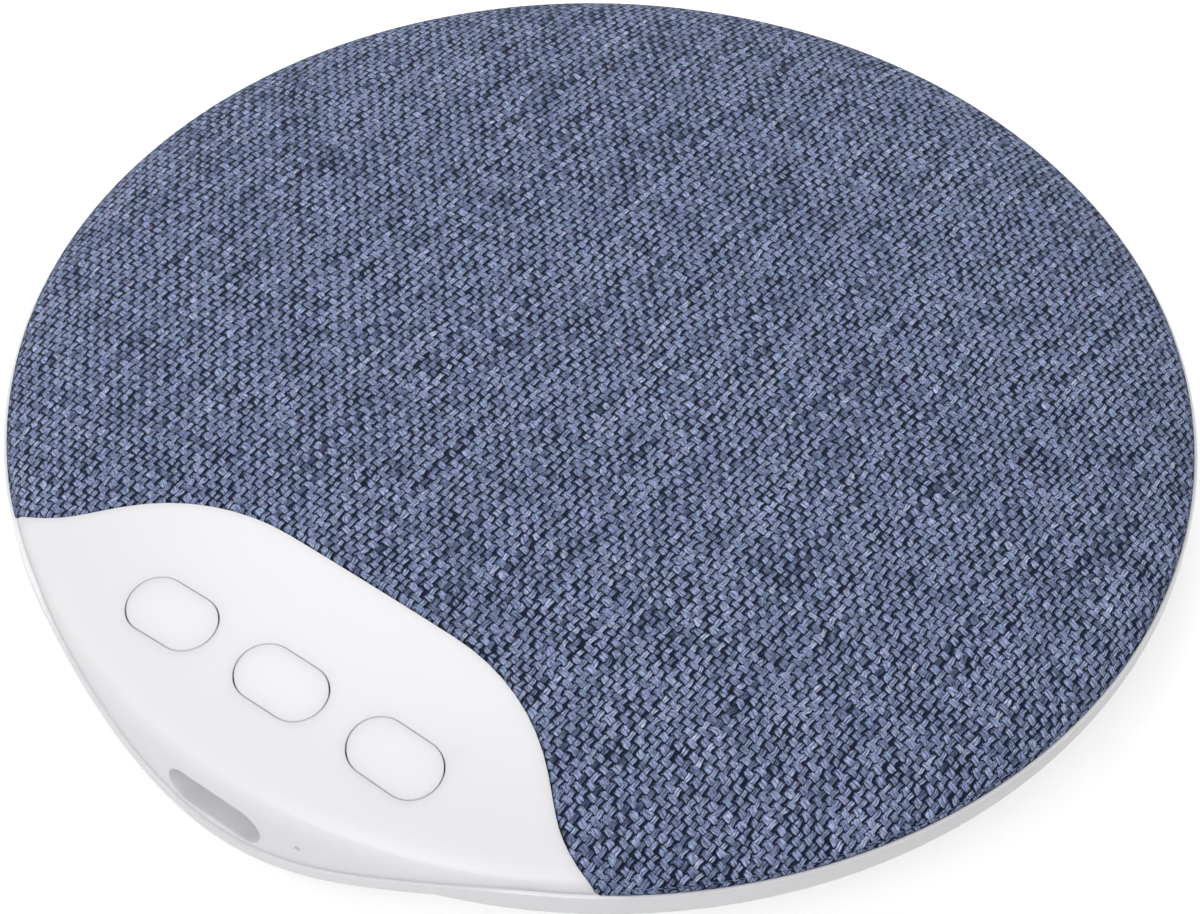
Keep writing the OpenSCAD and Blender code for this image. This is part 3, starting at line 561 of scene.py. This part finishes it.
def edge_distance(angle, rim_r=CROWN_R, seam=SEAM):
    """Distance from the spin centre to the edge, and 1 where that is the panel's seam."""
    ray = spoke(angle)
    b = SPIN_CENTRE.dot(ray)
    rim = -b + math.sqrt(b * b - SPIN_CENTRE.length_squared + rim_r ** 2)
    mirrored = Vector((abs(ray.x), ray.y))
    for p, q in zip(seam, seam[1:]):
        side = q - p
        cross = mirrored.x * side.y - mirrored.y * side.x
        if abs(cross) < PARALLEL:
            continue
        gap = p - SPIN_CENTRE
        t = (gap.x * side.y - gap.y * side.x) / cross
        s = (gap.x * mirrored.y - gap.y * mirrored.x) / cross
        if -NEARLY <= s <= 1 + NEARLY and 0 < t < rim:
            return t, 1.0
    return rim, 0.0


print("edge ahead", round(edge_distance(0)[0] / MM, 2), "mm, behind",
      round(edge_distance(math.pi)[0] / MM, 2), "mm from the spin centre")


# %% [markdown]
# ## The stretched cloth
# On the real speaker the cloth is pulled over a thin foam, folded round the rim and
# tucked down beside the panel. One way would be to cut a dome with a boolean, but its
# edge would be ragged. Instead a disc is spun from a line of points, so that its rings
# follow the edge, and each point is lifted onto the crown. The last rings roll over
# the edge and go down behind it, and each point keeps where it lay on the flat cloth,
# so that the weave follows the stretch.

# %% Helpers: a spun disc, and rings that crowd towards its edge
def spun_disc(name, spokes, rings):
    """A disc made by spinning a line of points (radius, side) about the upright axis."""
    mesh = bmesh.new()
    line = [mesh.verts.new((r, 0, side)) for r, side in rings]
    edges = [mesh.edges.new(pair) for pair in zip(line, line[1:])]
    bmesh.ops.spin(mesh, geom=line + edges, cent=(0, 0, 0), axis=(0, 0, 1), dvec=(0, 0, 0),
                   angle=2 * math.pi, steps=spokes, use_merge=True, use_normal_flip=False,
                   use_duplicate=False)
    bmesh.ops.remove_doubles(mesh, verts=mesh.verts, dist=1e-7)
    bmesh.ops.recalc_face_normals(mesh, faces=mesh.faces)
    if max(mesh.faces, key=lambda f: f.calc_center_median().z).normal.z < 0:
        bmesh.ops.reverse_faces(mesh, faces=mesh.faces)
    print(name, "spun with", len(mesh.verts), "points")
    return mesh


def ring_fraction(i, count):
    """Rings crowd towards the edge as the crown steepens."""
    a = math.pi / 2 * (1 - i / count)
    return (1 - math.sin(a) ** CROWN_RISE_EXP) ** (1 / CROWN_WIDTH_EXP)


SPOKES, RINGS, ROLL = 480, 64, 6
cloth_rings = [(ring_fraction(i, RINGS), 0) for i in range(RINGS + 1)]
cloth_rings += [(1 + (i + 1) / ROLL, 0) for i in range(ROLL)]
print(len(cloth_rings), "rings for the cloth")

# %% Where each point of the cloth lies when it is stretched
EDGE_ROUND, TUCK, UNDER = 0.65 * MM, 1.5 * MM, 0.7 * MM
SIDE_STEP, BLEND_STEP, BLEND_REACH = 0.002, 0.008, 3
edge_of = {}


def edge_at(angle):
    """Reach of the cloth, how far its edge is the panel's seam, and the way out."""
    key = round(angle % (2 * math.pi), 5)
    if key not in edge_of:
        reach = edge_distance(angle)[0]
        behind, ahead = (SPIN_CENTRE + edge_distance(a)[0] * spoke(a)
                         for a in (angle - SIDE_STEP, angle + SIDE_STEP))
        along = (ahead - behind).normalized()
        near = [edge_distance(angle + k * BLEND_STEP)[1]
                for k in range(-BLEND_REACH, BLEND_REACH + 1)]
        edge_of[key] = reach, sum(near) / len(near), Vector((along.y, -along.x))
    return edge_of[key]


def cloth_point(t, angle):
    """Place on the cloth; t is 0 in the middle, 1 at the edge and 2 tucked inside."""
    reach, seam, outwards = edge_at(angle)
    ray = spoke(angle)
    if t <= 1:
        flat = SPIN_CENTRE + ray * reach * t
        height = crown_z(flat.length)
        near = max(0.0, EDGE_ROUND - reach * (1 - t))
        drop = EDGE_ROUND - math.sqrt(max(0.0, EDGE_ROUND ** 2 - near ** 2))
        return Vector((*flat, height - drop * seam))
    edge = SPIN_CENTRE + ray * reach
    inside = (t - 1) * UNDER * (1 - seam)
    flat = edge - outwards * inside
    height = crown_z(edge.length) - (EDGE_ROUND + (t - 1) * TUCK) * seam
    return Vector((*flat, height))


def spun_place(vert):
    """Ring and angle of a point of a spun disc."""
    return vert.co.xy.length, math.atan2(vert.co.x, -vert.co.y)


print("the cloth rolls over by", round(EDGE_ROUND / MM, 2), "mm and goes",
      round(TUCK / MM, 2), "mm down beside the panel")


# %% Move the points of the spun disc and keep their flat places
def shape_cloth(mesh, lift):
    """Moves a spun disc's points to their places and notes where they lay when flat."""
    lay = mesh.verts.layers.float_vector.new("flat")
    for vert in mesh.verts:
        t, angle = spun_place(vert)
        vert.co = cloth_point(t, angle)
        vert.co.z += lift_at(lift, t, angle)
        flat = cloth_point(min(t, 1.0), angle).xy
        flat *= unrolled(flat.length) / max(flat.length, TINY)
        if t > 1:
            flat += edge_at(angle)[2] * (EDGE_ROUND + (t - 1) * TUCK)
        vert[lay] = (*flat, 0)
    uv = mesh.loops.layers.uv.new("Flat cloth")
    for face in mesh.faces:
        for loop in face.loops:
            loop[uv].uv = loop.vert[lay].xy


def unrolled(r):
    """Length along the crown from its middle to the distance r."""
    i = min(bisect.bisect_right(CROWN_RADII, r), len(CROWN_RADII) - 1)
    r0, r1 = CROWN_RADII[i - 1], CROWN_RADII[i]
    share = (r - r0) / (r1 - r0) if r1 > r0 else 0
    return CROWN_RUN[i - 1] + share * (CROWN_RUN[i] - CROWN_RUN[i - 1])


CROWN_STEPS = 400
CROWN_RADII = [CROWN_R * ring_fraction(k, CROWN_STEPS) for k in range(CROWN_STEPS + 1)]
CROWN_RUN = [0.0]
for r0, r1 in zip(CROWN_RADII, CROWN_RADII[1:]):
    CROWN_RUN.append(CROWN_RUN[-1] + math.hypot(r1 - r0, crown_z(r1) - crown_z(r0)))
print("crown from middle to rim:", round(CROWN_RUN[-1] / MM, 2), "mm of cloth")


# %% Helper: a piece made from a bmesh
def new_piece(name, mesh, finish, smooth=True):
    """An object from a bmesh, at the origin, with its finish."""
    data = bpy.data.meshes.new(name)
    mesh.to_mesh(data)
    mesh.free()
    piece = bpy.data.objects.new(name, data)
    bpy.context.scene.collection.objects.link(piece)
    data.materials.append(finish)
    for polygon in data.polygons:
        polygon.use_smooth = smooth
    return piece


# %% [markdown]
# ## The foam's push
# The foam under the cloth swells it a little between its held edges. The lift could be
# drawn as a smooth bulge, but a cloth simulation finds it from the real outline. It is
# run on a coarse copy that is held at its edge and pushed from below, because the fine
# rings of the real cloth would be slow to simulate, and the real cloth takes the lift
# over from the nearest points. A cloth this small is near the solver's limits and does
# not quite repeat, so its move up or down is capped at 0.2 mm: between runs most
# points stay within 0.06 mm, and a few differ by up to that cap.

# %% The foam's push as cloth settings
TRIAL_SPOKES, TRIAL_RINGS, TRIAL_FRAMES = 96, 26, 20
HELD_FROM, MOST_LIFT = 0.99, 0.2 * MM
PUSH = {"vertex_group_mass": "held edge", "quality": 6, "mass": 0.05,
        "tension_stiffness": 30, "compression_stiffness": 30, "bending_stiffness": 0.3,
        "use_pressure": True, "uniform_pressure_force": 4}


def trial_spoke(angle):
    """Which spoke of the coarse cloth an angle falls on, with its fraction."""
    return angle / (2 * math.pi) * TRIAL_SPOKES


def make_trial_cloth():
    """A coarse cloth held at its edge, and the ring and spoke of each of its points."""
    mesh = spun_disc("trial cloth", TRIAL_SPOKES,
                     [(i / TRIAL_RINGS, 0) for i in range(TRIAL_RINGS + 1)])
    mesh.verts.index_update()
    places, held = [], []
    for vert in mesh.verts:
        t, angle = spun_place(vert)
        places.append((round(t * TRIAL_RINGS), round(trial_spoke(angle)) % TRIAL_SPOKES))
        if t > HELD_FROM:
            held.append(vert.index)
        vert.co = cloth_point(t, angle)
    trial = new_piece("trial_cloth", mesh, cloth_finish)
    trial.vertex_groups.new(name="held edge").add(held, 1.0, "REPLACE")
    push = trial.modifiers.new("Push", "CLOTH").settings
    for title, value in PUSH.items():
        setattr(push, title, value)
    push.effector_weights.gravity = 0
    return trial, places


print("pushed for", TRIAL_FRAMES, "frames, kept to", round(MOST_LIFT / MM, 2), "mm")


# %% Let the coarse cloth settle under the foam's push
def settled_lift():
    """How far each point of a coarse cloth moves up when the foam pushes from below."""
    trial, places = make_trial_cloth()
    for number in range(1, TRIAL_FRAMES + 1):
        bpy.context.scene.frame_set(number)
    shape = trial.evaluated_get(bpy.context.evaluated_depsgraph_get()).to_mesh()
    rise = [b.co.z - a.co.z for a, b in zip(trial.data.vertices, shape.vertices)]
    most = max(map(abs, rise))
    share = min(1.0, MOST_LIFT / max(most, TINY))
    lift = [[0.0] * TRIAL_SPOKES for _ in range(TRIAL_RINGS + 1)]
    for (ring, at), value in zip(places, rise):
        for k in range(TRIAL_SPOKES) if ring == 0 else (at,):
            lift[ring][k] = value * share
    bpy.context.scene.frame_set(1)
    bpy.data.objects.remove(trial)
    print("the trial cloth moved", round(most / MM, 2), "mm at most, kept from",
          round(min(map(min, lift)) / MM, 2), "to", round(max(map(max, lift)) / MM, 2))
    return lift


def lift_at(lift, t, angle):
    """The lift between the points of the coarse cloth."""
    if not lift or t >= 1:
        return 0.0
    ring, around = t * TRIAL_RINGS, trial_spoke(angle) % TRIAL_SPOKES
    i, k = int(ring), int(around) % TRIAL_SPOKES
    after, out, on = (k + 1) % TRIAL_SPOKES, ring - int(ring), around - int(around)
    inner = lift[i][k] * (1 - on) + lift[i][after] * on
    outer = lift[i + 1][k] * (1 - on) + lift[i + 1][after] * on
    return inner * (1 - out) + outer * out


cloth_lift = settled_lift()


# %% Shape the real cloth
cloth_mesh = spun_disc("cloth", SPOKES, cloth_rings)
shape_cloth(cloth_mesh, cloth_lift)
cloth_area = sum(f.calc_area() for f in cloth_mesh.faces)
print("cloth area", round(cloth_area / MM ** 2), "square mm")

# %% Give the cloth its thickness, put it on the case and hide the plain cloth solid
CLOTH_THICK = 0.55 * MM
cloth = new_piece("stretched_cloth", cloth_mesh, cloth_finish)
thick = cloth.modifiers.new("Thickness", "SOLIDIFY")
thick.thickness, thick.offset = CLOTH_THICK, -1.0
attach(cloth, "case")
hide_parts("fabric_cover")
print("cloth", round(CLOTH_THICK / MM, 2), "mm thick")

# %% [markdown]
# ## The foam under the cloth
# A thin open foam keeps the cloth off the hard frame. It could be thickened from a
# sheet, but its underside follows the frame and its top follows the crown, so it is
# spun as a closed body: out along its top, round its edge, and back underneath.

# %% Build the foam
FOAM_R, FOAM_SEAM, FOAM_TOP = 51.9 * MM, 1.35 * MM, 0.75 * MM
FRAME_RISE, FRAME_FLAT, FRAME_INSET = 3.9 * MM, 12.7 * MM, 0.7 * MM
FOAM_SPOKES, FOAM_RINGS, FOAM_EDGE = 160, 24, 0.999
FOAM_BELLY, FOAM_CLEAR = 0.25 * MM, 0.05 * MM
foam_seam = seam_points(FOAM_SEAM)


def inner_crown(r, inset, rise):
    """Height of a crown of another rise that lies inset under the first."""
    q = max(0.0, 1 - (r / (CROWN_R - inset)) ** CROWN_WIDTH_EXP)
    return RIM_Z + (rise - inset) * q ** (1 / CROWN_RISE_EXP)


def foam_point(vert):
    """Place on the foam; a spun point's depth tells its side, 0 on top and 1 below."""
    side, (reach, angle) = -vert.co.z, spun_place(vert)
    edge = edge_distance(angle, FOAM_R, foam_seam)[0]
    pulled_in = FOAM_BELLY * (2 * side - 1) ** 2 if reach > FOAM_EDGE else 0.0
    flat = SPIN_CENTRE + spoke(angle) * (edge * reach - pulled_in)
    top = inner_crown(flat.length, FOAM_TOP, CROWN_H)
    frame_top = min(FRAME_FLAT, inner_crown(flat.length, FRAME_INSET, FRAME_RISE))
    return (*flat, top + (frame_top + FOAM_CLEAR - top) * side)


foam_rings = [(i / FOAM_RINGS, 0) for i in range(FOAM_RINGS + 1)]
foam_rings += [(1, -0.25), (1, -0.5), (1, -0.75)]
foam_rings += [(i / FOAM_RINGS, -1) for i in range(FOAM_RINGS, -1, -1)]
foam_mesh = spun_disc("foam", FOAM_SPOKES, foam_rings)
for vert in foam_mesh.verts:
    vert.co = foam_point(vert)
bmesh.ops.recalc_face_normals(foam_mesh, faces=foam_mesh.faces)
print("foam of", round(foam_mesh.calc_volume() / MM ** 3), "cubic mm, top at",
      round(inner_crown(0, FOAM_TOP, CROWN_H) / MM, 2), "mm")

# %% Put the foam on the case and hide the plain foam solid
foam = new_piece("open_foam", foam_mesh, finishes["foam"])
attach(foam, "case")
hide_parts("foam_pad")
print("foam with", len(foam.data.polygons), "faces")

# %% [markdown]
# ## Camera, floor and light
# The camera stands where the photograph's did. Its direction, distance and lens were
# found from the outline of the disc and the panel's edge. The floor is a large pale
# sheet that looks white to the camera but keeps the soft shadow under the object. Two
# large soft lamps and an even sky light the object at a plain level: a single lamp
# would leave the deep front wall dark.

# %% Camera
ELEVATION, TURN, ROLL = (math.radians(v) for v in (49.138, 35.536, 1.565))
DISTANCE, SHIFT_X, SHIFT_Y = 285.86 * MM, -0.2 * MM, -6.223 * MM
LENS, SENSOR, NEAREST = 88.305, 36, 10 * MM


def place_camera():
    """A camera that looks along the photograph's direction, moved a little sideways."""
    back = Vector((math.sin(TURN) * math.cos(ELEVATION),
                   -math.cos(TURN) * math.cos(ELEVATION), math.sin(ELEVATION)))
    right = Vector((math.cos(TURN), math.sin(TURN), 0))
    up = back.cross(right)
    right_r = right * math.cos(ROLL) + up * math.sin(ROLL)
    up_r = up * math.cos(ROLL) - right * math.sin(ROLL)
    camera = bpy.data.objects.new("camera", bpy.data.cameras.new("camera"))
    bpy.context.scene.collection.objects.link(camera)
    camera.data.lens, camera.data.sensor_width = LENS, SENSOR
    camera.data.clip_start = NEAREST
    place = back * DISTANCE + right_r * SHIFT_X + up_r * SHIFT_Y + Vector((0, 0, RIM_Z))
    turn = Matrix((right_r, up_r, back)).transposed().to_4x4()
    camera.matrix_world = Matrix.Translation(place) @ turn
    bpy.context.scene.camera = camera
    return camera


camera = place_camera()
print("camera at", [round(v, 4) for v in camera.location])


# %% Floor and background
FLOOR_HALF, FLOOR_GAP = 3.0, 0.05 * MM
PAPER, PAPER_SHINE, SKY_LIGHT, SKY_SEEN = (0.6, 0.6, 0.6), 0.58, 0.48, 1.0
WHITE = (1, 1, 1, 1)


def make_floor():
    """A sheet just under the foot ring, left out of the object's bodies."""
    mesh = bmesh.new()
    bmesh.ops.create_grid(mesh, x_segments=1, y_segments=1, size=FLOOR_HALF)
    bmesh.ops.translate(mesh, verts=mesh.verts, vec=(0, 0, cad_low[2] - FLOOR_GAP))
    material, tree, shader, _ = new_material("White paper floor", Roughness=0.9,
                                             Base_Color=(*PAPER, 1))
    floor = new_piece("floor", mesh, material, smooth=False)
    return tree, shader


def background_rays(tree, path):
    """1 for the rays that look at the background, straight, mirrored or through glass."""
    seen = Field(tree, path.outputs["Is Camera Ray"])
    for kind in ("Is Glossy Ray", "Is Transmission Ray"):
        seen = seen.most(Field(tree, path.outputs[kind]))
    return seen


def whiten(tree, shader, share):
    """Adds plain white to what camera, glossy and transmission rays see."""
    seen = background_rays(tree, tree.nodes.new("ShaderNodeLightPath"))
    shader.inputs["Emission Color"].default_value = WHITE
    tree.links.new((seen * share).socket, shader.inputs["Emission Strength"])


def make_sky():
    """An even light from all sides that looks plain white behind the object."""
    world = bpy.data.worlds.new("Plain sky")
    bpy.context.scene.world = world
    world.use_nodes = True
    tree = world.node_tree
    sky = tree.nodes["Background"]
    sky.inputs["Color"].default_value = WHITE
    seen = background_rays(tree, tree.nodes.new("ShaderNodeLightPath"))
    level = seen.remap(0, 1, SKY_LIGHT, SKY_SEEN, smooth=False)
    tree.links.new(level.socket, sky.inputs["Strength"])


whiten(*make_floor(), PAPER_SHINE)
make_sky()
print("floor", round(FLOOR_GAP / MM, 2), "mm under the foot ring")


# %% Lamps
LAMP_AIM = (0, 0, 10 * MM)


def soft_lamp(name, place, size, power, aim=LAMP_AIM):
    """A square lamp that looks at the object; size in metres and power in watts."""
    data = bpy.data.lights.new(name, "AREA")
    data.shape, data.size, data.energy = "SQUARE", size, power
    lamp = bpy.data.objects.new(name, data)
    bpy.context.scene.collection.objects.link(lamp)
    lamp.location = place
    lamp.rotation_euler = (Vector(aim) - Vector(place)).to_track_quat("-Z", "Y").to_euler()
    return lamp


soft_lamp("window", (-0.3, 0.3, 0.62), 0.4, 1.6)
soft_lamp("front", (0.08, -0.54, 0.56), 0.5, 2.35)
bpy.context.scene.view_settings.view_transform = "Standard"
print("lamps:", [light.name for light in bpy.data.lights])
